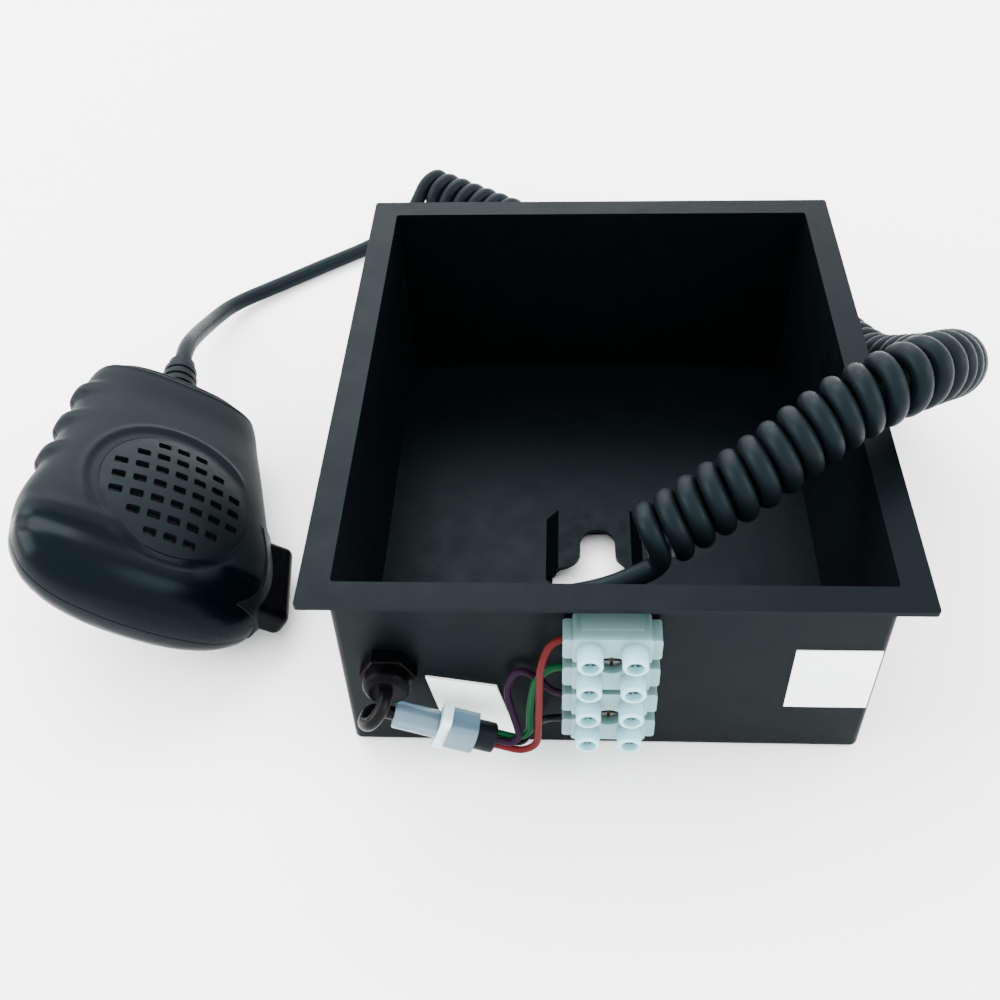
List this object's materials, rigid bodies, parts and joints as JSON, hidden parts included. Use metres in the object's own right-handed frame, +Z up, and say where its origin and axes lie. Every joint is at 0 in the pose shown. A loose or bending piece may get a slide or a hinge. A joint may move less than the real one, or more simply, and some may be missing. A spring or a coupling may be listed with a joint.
{
  "type": "paging microphone",
  "caption": "Flush-mount paging microphone: handheld push-to-talk handset on a coiled cord, with its flanged sheet-metal wall tray, hanger clip and outside terminal strip.",
  "frame": {"origin": "centre of the underside of the tray's floor", "axes": "+Z up out of the tray's open face, +Y from the terminal wall towards the opposite wall, +X to the right when seen from the terminal wall"},
  "size_m": [0.2399, 0.2513, 0.0791],
  "materials": {
    "powder_coat": "fine-texture charcoal powder coat on folded steel sheet",
    "black_nylon": "moulded nylon, satin",
    "terminal_housing": "translucent bluish-white moulded polyamide",
    "brass": "machined",
    "zinc_steel": "zinc-plated steel",
    "wire_red": "insulated wire",
    "wire_green": "insulated wire",
    "wire_violet": "insulated wire",
    "wire_black": "insulated wire and sleeve",
    "clear_connector": "translucent moulded plastic",
    "pale_collar": "translucent pale plastic",
    "dark_boot": "soft end boot",
    "label_paper": "bare white label",
    "cream_card": "bare cream card",
    "cord_sheath": "satin polyurethane cord sheath",
    "casing_plastic": "finely textured moulded casing",
    "grille_plastic": "finely textured moulded grille",
    "dust_cloth": "acoustic cloth",
    "capsule_metal": "drawn can",
    "rubber": "moulded rubber",
    "board": "glass-epoxy board",
    "switch_plastic": "moulded switch",
    "bar_plastic": "moulded push bar",
    "stud_metal": "nickel-plated steel",
    "clamp_steel": "pressed steel strip"
  },
  "bodies": {
    "wall_box": {"back_box": "powder_coat", "hanger_clip": "powder_coat", "cable_gland": "black_nylon", "gland_cap": "black_nylon", "gland_locknut": "black_nylon", "terminal_strip_body": "terminal_housing", "terminal_barrels": "brass", "terminal_screws": "zinc_steel", "strip_fixing_screws": "zinc_steel", "strip_fixing_nuts": "zinc_steel", "wire_red": "wire_red", "wire_green": "wire_green", "wire_violet": "wire_violet", "wire_black": "wire_black", "pigtail": "wire_black", "inline_connector_a": "clear_connector", "inline_connector_b": "clear_connector", "connector_collar": "pale_collar", "connector_boot": "dark_boot", "white_label": "label_paper", "cream_card": "cream_card", "cord_tail": "cord_sheath", "cord_coil": "cord_sheath", "cord_lead": "cord_sheath"},
    "handset": {"stud_screw": "zinc_steel", "shell_screws": "zinc_steel", "clamp_screws": "zinc_steel", "front_shell": "casing_plastic", "rear_shell": "casing_plastic", "ptt_bezel": "casing_plastic", "grille_insert": "grille_plastic", "dust_cloth": "dust_cloth", "mic_capsule": "capsule_metal", "capsule_ring": "rubber", "strain_relief_boot": "rubber", "circuit_board": "board", "switch_body": "switch_plastic", "hang_up_stud": "stud_metal", "cord_clamp": "clamp_steel"},
    "ptt_key": {"ptt_bar": "bar_plastic"},
    "switch_key": {"switch_plunger": "switch_plastic"}
  },
  "joints": [
    {"name": "handset_lift", "type": "slide", "parent": "wall_box", "child": "handset", "axis": [0, 0, 1], "range_m": [0, 0.08]},
    {"name": "ptt_press", "type": "slide", "parent": "handset", "child": "ptt_key", "axis": [-0.81, -0.0909, 0.5793], "range_m": [0, 0.002], "stiffness_N_per_m": 700, "springref_m": -0.0015},
    {"name": "switch_travel", "type": "slide", "parent": "handset", "child": "switch_key", "axis": [-0.81, -0.0909, 0.5793], "range_m": [0, 0.002]}
  ],
  "couplings": [
    {"joint": "switch_travel", "follows": "ptt_press", "ratio": 1}
  ]
}
